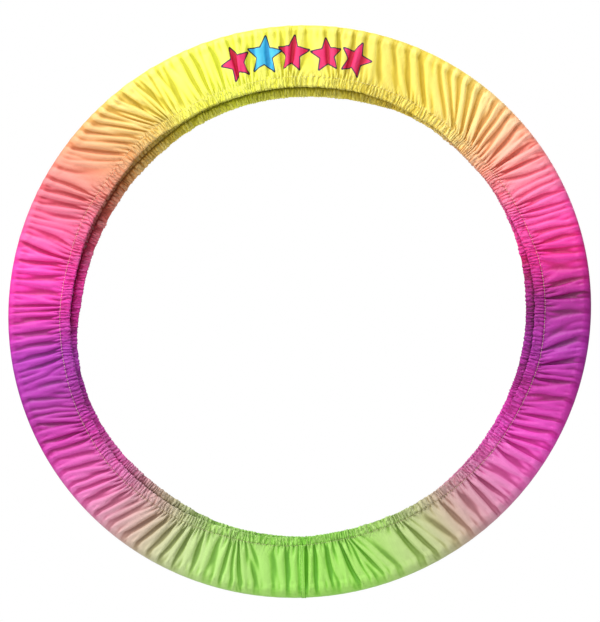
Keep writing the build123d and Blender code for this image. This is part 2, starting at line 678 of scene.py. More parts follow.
def bend_across(points: np.ndarray) -> np.ndarray:
    """Resistance to bending across the cloth.

    Args:
        points: the cloth's points.

    Returns:
        The fourth difference at each point, and 0 near the two edges.
    """
    second = np.zeros_like(points)
    second[:, 1:-1] = points[:, 2:] + points[:, :-2] - 2 * points[:, 1:-1]
    fourth = np.zeros_like(points)
    fourth[:, 1:-1] = second[:, 2:] + second[:, :-2] - 2 * second[:, 1:-1]
    return fourth


def corrected(
    first: np.ndarray,
    second: np.ndarray,
    free_first: np.ndarray,
    free_second: np.ndarray,
    length: float | np.ndarray,
    strength: float,
) -> tuple[np.ndarray, np.ndarray]:
    """Bring pairs of points to a length apart.

    Args:
        first: one point of each pair.
        second: the other point.
        free_first: 1 where the first may move, 0 where it is held.
        free_second: the same for the second.
        length: the length that they should be apart.
        strength: share of the error to put right.

    Returns:
        Both sets of points after the correction.
    """
    gap = second - first
    apart = np.sqrt(np.einsum("...k,...k->...", gap, gap))[..., None]
    share = (apart - length) / np.maximum(apart, 1e-6) * strength
    step = gap * (share / np.maximum(free_first + free_second, 1e-6))
    return first + free_first * step, second - free_second * step


def pull_round(
    points: np.ndarray,
    free: np.ndarray,
    start: int,
    lean: int,
    length: np.ndarray,
    strength: float,
) -> None:
    """Keep threads that run round the ring, or lean, at their length.

    Args:
        points: the cloth's points, changed in place.
        free: 1 where a point may move.
        start: 0 or 1, for the pairs that begin at even or odd columns.
        lean: rows by which the second point is further across, -1, 0 or 1.
        length: the thread's length at each point that it starts from.
        strength: share of the error to put right.
    """
    columns = np.arange(points.shape[0])
    one = columns[start::2]
    two = np.roll(columns, -1)[start::2]
    rows_one = slice(0, -1) if lean == 1 else slice(1, None) if lean == -1 else slice(None)
    rows_two = slice(1, None) if lean == 1 else slice(0, -1) if lean == -1 else slice(None)
    first, second = points[one][:, rows_one], points[two][:, rows_two]
    held = free[one][:, rows_one], free[two][:, rows_two]
    first, second = corrected(first, second, *held, length[start::2], strength)
    points[one, rows_one] = first
    points[two, rows_two] = second


def pull_across(points: np.ndarray, free: np.ndarray, start: int, length: np.ndarray) -> None:
    """Keep threads that run across the cloth at their length.

    Args:
        points: the cloth's points, changed in place.
        free: 1 where a point may move.
        start: 0 or 1, for the pairs that begin at even or odd rows.
        length: the thread's length.
    """
    pairs = (points.shape[1] - start) // 2
    one = slice(start, start + 2 * pairs, 2)
    two = slice(start + 1, start + 2 * pairs, 2)
    first, second = corrected(
        points[:, one], points[:, two], free[:, one], free[:, two], length, 1.0
    )
    points[:, one] = first
    points[:, two] = second


# ---------------------------------------------------------------- meshes


def between(values: np.ndarray) -> np.ndarray:
    """Values with one more half way between each two, round the ring."""
    middle = 0.5 * (values + np.roll(values, -1, axis=0))
    return np.stack((values, middle), axis=1).reshape(-1, *values.shape[1:])


@dataclass
class GridMesh:
    """A mesh woven from a grid of points.

    Attributes:
        name: name of the piece.
        points: points in millimetres, as (columns, rows, 3).
        closed_columns: True if the last column joins the first.
        closed_rows: True if the last row joins the first.
        flipped: True to turn the faces over.
    """

    name: str
    points: np.ndarray
    closed_columns: bool = False
    closed_rows: bool = False
    flipped: bool = False

    def faces(self) -> np.ndarray:
        """The faces between the points.

        Returns:
            Four point numbers for each face.
        """
        columns, rows = self.points.shape[:2]
        number = np.arange(columns * rows).reshape(columns, rows)
        if self.closed_columns:
            number = np.concatenate((number, number[:1]), axis=0)
        if self.closed_rows:
            number = np.concatenate((number, number[:, :1]), axis=1)
        corners = (number[:-1, :-1], number[1:, :-1], number[1:, 1:], number[:-1, 1:])
        quads = np.stack(corners, axis=-1).reshape(-1, 4)
        return quads[:, ::-1] if self.flipped else quads

    def build(self) -> bpy.types.Object:
        """Make the object, smooth shaded."""
        return mesh_object(self.name, self.points.reshape(-1, 3), self.faces())


def mesh_object(name: str, points: np.ndarray, faces: np.ndarray) -> bpy.types.Object:
    """Make a mesh object from arrays.

    Args:
        name: name of the piece.
        points: points in millimetres, as (count, 3).
        faces: point numbers, as (count, corners).

    Returns:
        The object, smooth shaded and linked to the scene.
    """
    mesh = bpy.data.meshes.new(name)
    mesh.vertices.add(len(points))
    mesh.vertices.foreach_set("co", (points * MM).astype(np.float32).ravel())
    count, corners = faces.shape
    mesh.loops.add(count * corners)
    mesh.loops.foreach_set("vertex_index", faces.astype(np.int32).ravel())
    mesh.polygons.add(count)
    mesh.polygons.foreach_set("loop_start", np.arange(0, count * corners, corners, dtype=np.int32))
    mesh.polygons.foreach_set("use_smooth", np.ones(count, bool))
    mesh.update(calc_edges=True)
    mesh.validate()
    piece = bpy.data.objects.new(name, mesh)
    bpy.context.scene.collection.objects.link(piece)
    return piece


def store(piece: bpy.types.Object, name: str, values: np.ndarray) -> None:
    """Store a value or a vector at each point, for the materials.

    Args:
        piece: the mesh object.
        name: name of the attribute.
        values: one number, or three, for each point.
    """
    vector = values.shape[-1] == 3 and values.ndim > 1
    kind = "FLOAT_VECTOR" if vector else "FLOAT"
    attribute = piece.data.attributes.new(name, kind, "POINT")
    attribute.data.foreach_set("vector" if vector else "value", values.astype(np.float32).ravel())


def tube_rings(path: np.ndarray, across: np.ndarray, radius: np.ndarray, sides: int) -> np.ndarray:
    """Rings of points round many short paths.

    Args:
        path: points of each path, as (paths, points, 3).
        across: two unit vectors at each point that span its ring, as (2, paths, points, 3).
        radius: radius of each ring, as (points,).
        sides: number of points in a ring.

    Returns:
        Points as (paths, points, sides, 3).
    """
    turn = np.arange(sides) / sides * TURN
    offset = (
        across[0][..., None, :] * np.cos(turn)[:, None]
        + across[1][..., None, :] * np.sin(turn)[:, None]
    )
    return path[..., None, :] + offset * radius[None, :, None, None]


def joined(pieces: list[bpy.types.Object]) -> bpy.types.Object:
    """Join mesh objects.

    Args:
        pieces: the objects.

    Returns:
        The first of them, which now holds all.
    """
    with bpy.context.temp_override(
        active_object=pieces[0], selected_objects=pieces, selected_editable_objects=pieces
    ):
        bpy.ops.object.join()
    return pieces[0]


def unit(vectors: np.ndarray) -> np.ndarray:
    """Vectors scaled to a length of 1."""
    return vectors / np.maximum(np.linalg.norm(vectors, axis=-1, keepdims=True), 1e-9)


@dataclass(frozen=True)
class ThreadRow:
    """A row of lock stitches, each a short thread that dips into the cloth at its ends.

    Attributes:
        name: name of the piece.
        pitch: cloth from one stitch to the next.
        stitch: cloth that a stitch covers.
        thickness: the thread's diameter.
        sides: number of points round it.
    """

    name: str
    pitch: float = 3.8
    stitch: float = 2.5
    thickness: float = 0.42
    sides: int = 6

    def build(
        self, distance: np.ndarray, line: np.ndarray, outward: np.ndarray, length: float
    ) -> bpy.types.Object:
        """Sew along a line.

        Args:
            distance: how far along the line each of its points is.
            line: the line's points, as (count, 3).
            outward: the way out of the cloth at each point, as (count, 3).
            length: length of the row.

        Returns:
            The row of stitches as one object.
        """
        count = int(length / self.pitch)
        begin = np.arange(count) * (length / count)
        part = np.array([-0.06, 0.08, 0.3, 0.5, 0.7, 0.92, 1.06])
        arch = np.array([-0.5, 0.1, 0.42, 0.5, 0.42, 0.1, -0.5]) * self.thickness
        swell = np.array([0.3, 0.85, 1.0, 1.0, 1.0, 0.85, 0.3]) * self.thickness / 2
        place = begin[:, None] + part[None, :] * self.stitch
        path = np.stack([np.interp(place, distance, line[:, k]) for k in range(3)], axis=-1)
        out = unit(np.stack([np.interp(place, distance, outward[:, k]) for k in range(3)], axis=-1))
        path = path + out * arch[None, :, None]
        forward = unit(np.gradient(path, axis=1))
        aside = unit(np.cross(forward, out))
        rings = tube_rings(path, np.stack((aside, np.cross(aside, forward))), swell, self.sides)
        grid = GridMesh(self.name, np.zeros((len(part), self.sides, 3)), closed_rows=True).faces()
        block = len(part) * self.sides
        faces = (grid[None] + np.arange(count)[:, None, None] * block).reshape(-1, 4)
        piece = mesh_object(self.name, rings.reshape(-1, 3), faces)
        run = np.repeat(place.reshape(-1), self.sides)
        turn = np.tile(np.arange(self.sides) / self.sides, count * len(part))
        store(piece, "cloth_mm", np.stack((run, turn, 0 * run), axis=-1))
        return piece


HELD_OUTSIDE = 3.0  # the cloth further out than this from the tube's centre line stays put


def bend_with_hem(
    piece: bpy.types.Object, sizes: RingSizes, side: Side, radius: np.ndarray | None = None
) -> None:
    """Let cloth stretch between the cover and a hem that is pulled away from it.

    The share that follows the hem grows smoothly from the tube to the row of thread, so it
    depends on the distance from the hoop's axis rather than on a straight line.

    Args:
        piece: the mesh, with no parent.
        sizes: sizes of the rings.
        side: the half of the cover.
        radius: each point's distance from the axis before folds, where it is known.
    """
    last = sizes.stitch_row(side)
    first = sizes.centre + HELD_OUTSIDE
    start = (0, 0, first * MM)
    end = (0, 0, last * MM)
    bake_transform(piece, "cover", f"{side.label}_hem", start=start, end=end)
    count = len(piece.data.vertices)
    points = np.empty(3 * count, np.float32)
    piece.data.vertices.foreach_get("co", points)
    points = points.reshape(-1, 3)
    if radius is None:
        radius = np.hypot(points[:, 0], points[:, 2]) / MM
    share = smooth_step(np.clip((first - radius) / (first - last), 0, 1))
    attribute = piece.data.attributes[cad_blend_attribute(piece)]
    attribute.data.foreach_set("value", share.astype(np.float32))


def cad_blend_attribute(piece: bpy.types.Object) -> str:
    """Name of the attribute in which the frame keeps a blended piece's shares."""
    return next(a.name for a in piece.data.attributes if "BLEND" in a.name.upper())


# ---------------------------------------------------------------- finishes


def linear(code: str) -> tuple[float, float, float, float]:
    """An sRGB hex colour as the linear values that shaders use.

    Args:
        code: six hex digits.

    Returns:
        Red, green, blue and an alpha of 1.
    """
    values = [int(code[k : k + 2], 16) / 255 for k in (0, 2, 4)]
    low = [v / 12.92 if v <= 0.04045 else ((v + 0.055) / 1.055) ** 2.4 for v in values]
    return (*low, 1.0)


def wave_scale(spacing: float) -> float:
    """Scale of a wave texture whose bands lie a spacing apart."""
    return TURN / spacing / WAVE_RATE


def add(
    tree: bpy.types.NodeTree, kind: str, sockets: Links | None = None, **settings: object
) -> bpy.types.Node:
    """Add a node.

    Args:
        tree: the material's or world's node tree.
        kind: the node's type, without "ShaderNode".
        sockets: value or output socket for each input, by name or number.
        settings: the node's own properties.

    Returns:
        The node.
    """
    node = tree.nodes.new("ShaderNode" + kind)
    for name, value in settings.items():
        setattr(node, name, value)
    for name, value in (sockets or {}).items():
        socket = node.inputs[name]
        if isinstance(value, bpy.types.NodeSocket):
            tree.links.new(value, socket)
        else:
            socket.default_value = value
    return node


@dataclass
class Finish:
    """A material with a Principled shader.

    Attributes:
        name: name of the material.
        sockets: the shader's own constant values.
    """

    name: str
    sockets: Links

    def begin(self) -> bpy.types.NodeTree:
        """Make the material, with its shader and output.

        Returns:
            Its node tree.
        """
        self.material = bpy.data.materials.new(self.name)
        self.material.use_nodes = True
        self.tree = self.material.node_tree
        self.tree.nodes.clear()
        self.shader = add(self.tree, "BsdfPrincipled", self.sockets)
        add(self.tree, "OutputMaterial", {"Surface": self.shader.outputs[0]})
        return self.tree

    def give(self, name: str, output: Shade) -> None:
        """Link a node's output to one of the shader's inputs."""
        self.tree.links.new(output, self.shader.inputs[name])

    def dress(self, piece: bpy.types.Object) -> None:
        """Put the material on a piece in place of what it had."""
        piece.data.materials.clear()
        piece.data.materials.append(self.material)


@dataclass(frozen=True)
class PrintStop:
    """One colour of the print, with some painted fold shade in it.

    Attributes:
        clock: where it lies, degrees clockwise from the top, from 180 at the end seam on
            past 360 at the top to 540.
        colour: sRGB hex.
    """

    clock: float
    colour: str


# the print's colours round the ring, each fitted to the cloth's mean colour at its angle, so they carry the
# print and some painted shade of the folds there
PRINT_AND_SHADE = (
    PrintStop(180, "9EDD5F"),
    PrintStop(200, "B4DC7E"),
    PrintStop(210, "C3C799"),
    PrintStop(220, "D0A5A5"),
    PrintStop(230, "E577B8"),
    PrintStop(241, "D13EAA"),
    PrintStop(252, "B232A7"),
    PrintStop(261, "B93AB6"),
    PrintStop(270, "DE37AD"),
    PrintStop(280, "F842B4"),
    PrintStop(290, "F0669E"),
    PrintStop(300, "E88986"),
    PrintStop(310, "E8AB78"),
    PrintStop(320, "F4D57A"),
    PrintStop(332, "FAF56D"),
    PrintStop(345, "F7FC6A"),
    PrintStop(380, "EDDA64"),
    PrintStop(390, "F9E169"),
    PrintStop(400, "FFE38A"),
    PrintStop(410, "FFC798"),
    PrintStop(420, "FF989D"),
    PrintStop(430, "FF5FB1"),
    PrintStop(440, "F232A1"),
    PrintStop(450, "B02290"),
    PrintStop(461, "B430AA"),
    PrintStop(472, "C930A5"),
    PrintStop(482, "EC4EC2"),
    PrintStop(491, "E679BC"),
    PrintStop(502, "D1A3A7"),
    PrintStop(512, "BFCB8E"),
    PrintStop(526, "A8DF6A"),
)


STAR_FILLS = {"star_rose": "E8336F", "star_blue": "4FC3EA"}
STAR_OUTLINE = "3A2A55"


@dataclass(frozen=True)
class PrintedTaffeta:
    """Woven polyester taffeta with a transfer print.

    Its smooth filament yarns give a soft gloss with bright fold crests, and its crosswise
    yarns show as faint streaks. The print is clean and runs along the strip. Hollows and
    creases get painted shade: their colour is made deeper and darker.

    Attributes:
        name: name of the material.
        starred: True on the half that carries the printed stars.
        yarn: spacing of the yarns. Real taffeta has about 0.3, which is too fine to show.
        crinkle: size of the small creases that washing and packing leave.
        crinkle_height: their height.
        hollow_depth: depth at which the painted shade in hollows is strongest.
        hollow_gamma: how much deeper their colour is painted, as painted bounce light.
        hollow_dim: how much darker they are painted, as painted shade.
        roughness: the shader's mean roughness.
        pleat: spacing of the sharp creases where the cloth is gathered.
        pleat_depth: their depth.
        pleat_dark: how dark the creases are painted, as painted shade.
        pleat_lean: how far the two sets lean from the way across, in radians.
        pleat_width: half width of a crease's wall, on the scale of its noise.
        streaks: the yarns' streaks in a millimetre, along and across the strip.
        streak_tones: darkest and brightest of them.
        clouds: the print's broad patches in a millimetre.
        cloud_tones: darkest and brightest of them.
        gloss: change of roughness between the glossiest and the dullest streak.
        deepens_from: depth at which the painted deepening of a hollow's colour begins.
        dims_from: depth at which its painted shade begins.
        star_line: width of the line round a star.
        star_blur: half the width in which the print's edges blur.
    """

    name: str
    starred: bool = False
    yarn: float = 1.1
    crinkle: float = 7.0
    crinkle_height: float = 0.35
    hollow_depth: float = 2.4
    hollow_gamma: float = 1.7
    hollow_dim: float = 0.66
    roughness: float = 0.5
    pleat: float = 2.6
    pleat_depth: float = 0.7
    pleat_dark: float = 0.74
    pleat_lean: float = 0.32
    pleat_width: float = 0.045
    streaks: tuple[float, float] = (0.9, 0.03)
    streak_tones: tuple[float, float] = (0.965, 1.03)
    clouds: float = 0.03
    cloud_tones: tuple[float, float] = (0.97, 1.03)
    gloss: tuple[float, float] = (-0.05, 0.06)
    deepens_from: float = -0.5
    dims_from: float = 0.2
    star_line: float = 1.6
    star_blur: float = 0.3

    def make(self) -> Finish:
        """Build the material.

        Returns:
            The finish, ready to dress pieces with.
        """
        finish = Finish(
            self.name,
            {"Specular IOR Level": 0.35, "IOR": 1.5, "Sheen Weight": 0.03, "Sheen Roughness": 0.35},
        )
        tree = finish.begin()
        run = add(tree, "Attribute", attribute_name="print_run")
        ramp = add(tree, "ValToRGB", {"Fac": run.outputs["Fac"]})
        self.fill(ramp.color_ramp)
        cloth = add(tree, "Attribute", attribute_name="cloth_mm").outputs["Vector"]
        drawn = add(tree, "Mapping", {"Vector": cloth, "Scale": (*self.streaks, 1)})
        streak = add(tree, "TexNoise", {"Vector": drawn.outputs[0], "Scale": 1.0, "Detail": 3.0})
        cloud = add(tree, "TexNoise", {"Vector": cloth, "Scale": self.clouds, "Detail": 2.0})
        tones = []
        for noise, (dark, bright) in ((streak, self.streak_tones), (cloud, self.cloud_tones)):
            sockets = {0: noise.outputs["Fac"], **NOISE_SPAN, 3: dark, 4: bright}
            tones.append(add(tree, "MapRange", sockets).outputs[0])
        both = add(tree, "Math", {0: tones[0], 1: tones[1]}, operation="MULTIPLY")
        colour = ramp.outputs["Color"]
        if self.starred:
            colour = self.stars(tree, colour)
        shaded = add(
            tree, "VectorMath", {0: colour, "Scale": both.outputs[0]}, operation="SCALE"
        )
        # light that bounces between the walls of a fold takes the print's colour twice
        painted_shade = add(tree, "Attribute", attribute_name="hollow_mm").outputs["Fac"]
        depth = add(
            tree,
            "MapRange",
            {0: painted_shade, 1: self.deepens_from, 2: self.hollow_depth, 3: 1.0, 4: self.hollow_gamma},
            interpolation_type="SMOOTHSTEP",
        )
        painted_bounce = add(tree, "Gamma", {"Color": shaded.outputs[0], "Gamma": depth.outputs[0]})
        # painted shade: the cloth is darker where it lies in a hollow or a sharp bend
        shade_factor = add(
            tree,
            "MapRange",
            {0: painted_shade, 1: self.dims_from, 2: self.hollow_depth, 3: 1.0, 4: self.hollow_dim},
            interpolation_type="SMOOTHSTEP",
        )
        painted_shade_colour = add(
            tree, "VectorMath", {0: painted_bounce.outputs[0], "Scale": shade_factor.outputs[0]}, operation="SCALE"
        )
        pleats = self.pleats(tree, cloth)
        # painted shade: the gathers' sharp creases are darker
        crease_shade = add(tree, "MapRange", {0: pleats, 1: 0.0, 2: 1.0, 3: self.pleat_dark, 4: 1.0})
        crease_shaded = add(
            tree, "VectorMath", {0: painted_shade_colour.outputs[0], "Scale": crease_shade.outputs[0]}, operation="SCALE"
        )
        finish.give("Base Color", crease_shaded.outputs[0])
        gloss = add(
            tree,
            "MapRange",
            {
                0: streak.outputs["Fac"],
                **NOISE_SPAN,
                3: self.roughness + self.gloss[0],
                4: self.roughness + self.gloss[1],
            },
        )
        finish.give("Roughness", gloss.outputs[0])
        finish.give("Normal", self.surface(tree, cloth, pleats))
        return finish

    def pleats(self, tree: bpy.types.NodeTree, cloth: Shade) -> Shade:
        """Sharp creases that cross each other where the cloth is gathered.

        Args:
            tree: the material's tree.
            cloth: the cloth's own coordinates in millimetres.

        Returns:
            0 in the creases and 1 away from them.
        """
        gathered = add(tree, "Attribute", attribute_name="gathered").outputs["Fac"]
        depths = []
        for lean in (self.pleat_lean, -self.pleat_lean):
            turned = add(tree, "Mapping", {"Vector": cloth, "Rotation": (0, 0, lean)})
            drawn = add(
                tree,
                "Mapping",
                {"Vector": turned.outputs[0], "Scale": (0.5 / self.pleat, 0.11 / self.pleat, 1)},
            )
            noise = add(tree, "TexNoise", {"Vector": drawn.outputs[0], "Scale": 1.0, "Detail": 1.0})
            off = add(tree, "Math", {0: noise.outputs["Fac"], 1: 0.5}, operation="SUBTRACT")
            depths.append(add(tree, "Math", {0: off.outputs[0]}, operation="ABSOLUTE").outputs[0])
        nearest = add(tree, "Math", {0: depths[0], 1: depths[1]}, operation="MINIMUM")
        wall = add(
            tree,
            "MapRange",
            {0: nearest.outputs[0], 1: 0.0, 2: self.pleat_width, 3: 1.0, 4: 0.0},
            interpolation_type="SMOOTHSTEP",
        )
        shown = add(tree, "Math", {0: wall.outputs[0], 1: gathered}, operation="MULTIPLY")
        return add(tree, "Math", {0: 1.0, 1: shown.outputs[0]}, operation="SUBTRACT").outputs[0]

    def fill(self, ramp: bpy.types.ColorRamp) -> None:
        """Put the print's colours, with their painted fold shade, in a ramp that runs clockwise from the end
        seam.

        Args:
            ramp: the ramp, changed in place.
        """
        ramp.interpolation = "LINEAR"
        for number, stop in enumerate(PRINT_AND_SHADE):
            place = (stop.clock - 180) / 360
            element = ramp.elements[number] if number < 1 else ramp.elements.new(place)
            element.position = place
            element.color = linear(stop.colour)
        last = ramp.elements[-1]
        last.position = 1.0
        last.color = linear(PRINT_AND_SHADE[0].colour)

    def stars(self, tree: bpy.types.NodeTree, ground: Shade) -> Shade:
        """Print the stars over the ground colour.

        Args:
            tree: the material's tree.
            ground: the print's colour.

        Returns:
            The colour with the stars.
        """
        colour = ground
        for name, fill in STAR_FILLS.items():
            edge = add(tree, "Attribute", attribute_name=name).outputs["Fac"]
            for reach, ink in ((self.star_line, STAR_OUTLINE), (0.0, fill)):
                far, near = reach + self.star_blur, reach - self.star_blur
                inside = add(tree, "MapRange", {0: edge, 1: far, 2: near, 3: 0.0, 4: 1.0})
                sockets = {0: inside.outputs[0], 6: colour, 7: linear(ink)}
                colour = add(tree, "Mix", sockets, data_type="RGBA").outputs[2]
        return colour

    def surface(self, tree: bpy.types.NodeTree, cloth: Shade, pleats: Shade) -> Shade:
        """Yarns and small creases as a bump.

        Args:
            tree: the material's tree.
            cloth: the cloth's own coordinates in millimetres.
            pleats: 0 in the sharp creases and 1 away from them.

        Returns:
            The bumped normal.
        """
        sockets = {"Vector": cloth, "Scale": wave_scale(self.yarn), "Distortion": 0.6, "Detail": 0.0}
        waves = [
            add(tree, "TexWave", sockets, bands_direction=way).outputs["Fac"] for way in "XY"
        ]
        weave = add(tree, "Math", {0: waves[0], 1: waves[1]}, operation="MULTIPLY")
        crease = add(
            tree,
            "TexNoise",
            {
                "Vector": cloth,
                "Scale": 1 / self.crinkle,
                "Detail": 3.0,
                "Roughness": 0.55,
                "Distortion": 0.6,
            },
        )
        # a noise covers about a quarter of its range, so the creases' distance is four heights
        layers = (
            (0.35, 0.12 * MM, weave.outputs[0]),
            (0.6, self.crinkle_height * MM * 4, crease.outputs["Fac"]),
            (0.8, self.pleat_depth * MM, pleats),
        )
        below: Links = {}
        for strength, distance, height in layers:
            sockets = {"Strength": strength, "Distance": distance, "Height": height, **below}
            below = {"Normal": add(tree, "Bump", sockets).outputs[0]}
        return below["Normal"]


@dataclass(frozen=True)
class RibbedFinish:
    """A material with even ribs, such as twisted thread or braided elastic.

    Attributes:
        name: name of the material.
        colour: sRGB hex.
        dark: sRGB hex of the hollows between the ribs, as painted shade.
        rib: spacing of the ribs.
        height: their height.
        roughness: the shader's roughness.
        slant: how far the ribs lean, in radians.
        sheen: the shader's sheen.
    """

    name: str
    colour: str
    dark: str
    rib: float
    height: float
    roughness: float
    slant: float = 0.0
    sheen: float = 0.2

    def make(self) -> Finish:
        """Build the material.

        Returns:
            The finish, ready to dress pieces with.
        """
        finish = Finish(
            self.name,
            {"Roughness": self.roughness, "IOR": 1.5, "Sheen Weight": self.sheen, "Sheen Roughness": 0.5},
        )
        tree = finish.begin()
        cloth = add(tree, "Attribute", attribute_name="cloth_mm").outputs["Vector"]
        turned = add(tree, "Mapping", {"Vector": cloth, "Rotation": (0, 0, self.slant)})
        wave = add(
            tree,
            "TexWave",
            {
                "Vector": turned.outputs[0],
                "Scale": wave_scale(self.rib),
                "Distortion": 0.8,
                "Detail": 1.0,
            },
            bands_direction="Y",
        )
        # painted shade: the hollows between the ribs are darker
        mix = add(
            tree,
            "Mix",
            {0: wave.outputs["Fac"], 6: linear(self.dark), 7: linear(self.colour)},
            data_type="RGBA",
        )
        finish.give("Base Color", mix.outputs[2])
        bump = add(
            tree, "Bump", {"Strength": 0.8, "Distance": self.height * MM, "Height": wave.outputs["Fac"]}
        )
        finish.give("Normal", bump.outputs[0])
        return finish


@dataclass(frozen=True)
class SolidFinish:
    """Plastic, metal or board with a slightly uneven surface.

    Attributes:
        name: name of the material.
        colour: sRGB hex.
        worn: sRGB hex where it is rubbed or dusty.
        roughness: the shader's mean roughness.
        metallic: the shader's metallic value.
        grain: size of the unevenness.
        stretch: how many times narrower the marks are along Y than round the ring.
        depth: height of the marks.
        subsurface: share of light that passes into the plastic.
    """

    name: str
    colour: str
    worn: str
    roughness: float
    metallic: float = 0.0
    grain: float = 4.0
    stretch: float = 1.0
    depth: float = 0.05
    subsurface: float = 0.0

    def make(self) -> Finish:
        """Build the material.

        Returns:
            The finish, ready to dress pieces with.
        """
        finish = Finish(
            self.name,
            {
                "Metallic": self.metallic,
                "Subsurface Weight": self.subsurface,
                "Subsurface Radius": (1.0, 0.9, 0.8),
                "Subsurface Scale": 2.0 * MM,
            },
        )
        tree = finish.begin()
        place = add(tree, "TexCoord").outputs["Object"]
        scaled = add(tree, "Mapping", {"Vector": place, "Scale": (1, self.stretch, 1)})
        noise = add(
            tree,
            "TexNoise",
            {"Vector": scaled.outputs[0], "Scale": 1 / (self.grain * MM), "Detail": 5.0, "Roughness": 0.6},
        )
        mix = add(
            tree,
            "Mix",
            {0: noise.outputs["Fac"], 6: linear(self.colour), 7: linear(self.worn)},
            data_type="RGBA",
        )
        finish.give("Base Color", mix.outputs[2])
        gloss = add(
            tree,
            "MapRange",
            {
                0: noise.outputs["Fac"],
                **NOISE_SPAN,
                3: self.roughness * 0.8,
                4: self.roughness * 1.2,
            },
        )
        finish.give("Roughness", gloss.outputs[0])
        bump = add(
            tree, "Bump", {"Strength": 0.5, "Distance": self.depth * MM, "Height": noise.outputs["Fac"]}
        )
        finish.give("Normal", bump.outputs[0])
        return finish


@dataclass
class Wardrobe:
    """Every finish of the hoop and its cover, made once."""

    def __post_init__(self) -> None:
        """Make the materials."""
        # woven, heat set and transfer printed: glossy crests, and painted shade that deepens and darkens the
        # hollows
        self.front_cloth = PrintedTaffeta("polyester_taffeta_printed_starred", starred=True).make()
        self.back_cloth = PrintedTaffeta("polyester_taffeta_printed").make()
        # the channels' cloth is creased by its own gathers, so it looks duller and busier, with stronger
        # painted shade in its hollows and creases
        self.hem_cloth = PrintedTaffeta(
            "polyester_taffeta_gathered",
            crinkle=4.5,
            crinkle_height=0.3,
            hollow_depth=1.3,
            roughness=0.55,
            pleat_dark=0.66,
        ).make()
        # spun polyester thread, Z twisted: a matt pale line with a fine slanting rib
        self.thread = RibbedFinish(
            "spun_polyester_thread", "FAEFC4", "E6D6A4", 0.5, 0.06, 0.65, slant=0.9
        ).make()
        # the seam's thread matches the cloth that it joins, so only its relief shows
        self.seam_thread = RibbedFinish(
            "spun_polyester_thread_green", "C0EE8A", "6FA845", 0.5, 0.06, 0.65, slant=0.9
        ).make()
        # braided rubber-core elastic: matt white with lengthwise ribs about a millimetre apart
        self.elastic = RibbedFinish(
            "braided_elastic_white", "F1EFEA", "C9C6BE", 1.1, 0.2, 0.75
        ).make()
        # extruded polyethylene tube: waxy, a little translucent, with faint draw marks
        self.tube = SolidFinish(
            "polyethylene_extruded_white", "F2F1EC", "E3E0D6", 0.38, grain=9, stretch=6, subsurface=0.15
        ).make()
        # moulded polypropylene rod: dull black with a fine grain
        self.plug = SolidFinish(
            "polypropylene_moulded_black", "232427", "303136", 0.5, grain=2.0, depth=0.03
        ).make()
        # drawn aluminium: a soft pale metal shine with fine scuffs
        self.rivet = SolidFinish(
            "aluminium_drawn", "D6D7D9", "B9BBBE", 0.35, metallic=1.0, grain=1.2, depth=0.02
        ).make()
        # matt painted board: even and pale, so that it stays quiet behind the object
        self.floor = SolidFinish("matt_painted_board", "F4F4F3", "EFEFEE", 0.9, grain=60).make()


# ---------------------------------------------------------------- the cover


@dataclass(frozen=True)
class Star:
    """A five-pointed star printed on the cloth.

    Attributes:
        along: its middle, clockwise from the top along the cloth.
        across: its middle, from the outermost line.
        size: radius to its points.
        tilt: how far it is turned, in degrees clockwise.
        notch: radius to its notches, as a share of the radius to its points.
    """

    along: float
    across: float
    size: float
    tilt: float
    notch: float = 0.45

    def edge(self, along: np.ndarray, across: np.ndarray) -> np.ndarray:
        """Distance from the star's edge, negative inside.

        Args:
            along: cloth coordinate clockwise from the top.
            across: cloth coordinate from the outermost line.

        Returns:
            The distance at each point.
        """
        east, north = along - self.along, self.across - across
        turn = np.arctan2(east, north) - math.radians(self.tilt)
        reach = np.hypot(east, north)
        wedge = math.pi / 5
        folded = np.abs((turn + wedge) % (2 * wedge) - wedge)
        x, y = reach * np.sin(folded), reach * np.cos(folded)
        inner = self.notch * self.size
        tip = np.array([0.0, self.size])
        notch = np.array([inner * math.sin(wedge), inner * math.cos(wedge)])
        edge = notch - tip
        normal = np.array([-edge[1], edge[0]]) / np.hypot(*edge)
        part = np.clip(((x - tip[0]) * edge[0] + (y - tip[1]) * edge[1]) / (edge @ edge), 0, 1)
        gap = np.hypot(x - tip[0] - part * edge[0], y - tip[1] - part * edge[1])
        side = np.sign((x - tip[0]) * normal[0] + (y - tip[1]) * normal[1])
        return gap * side


ROSE_STARS = (
    Star(-100, 50, 25, -12),
    Star(-6, 48, 26, 6),
    Star(46, 49, 24, -8),
    Star(95, 50, 25, 14),
)
BLUE_STARS = (Star(-53, 46, 27, 10),)


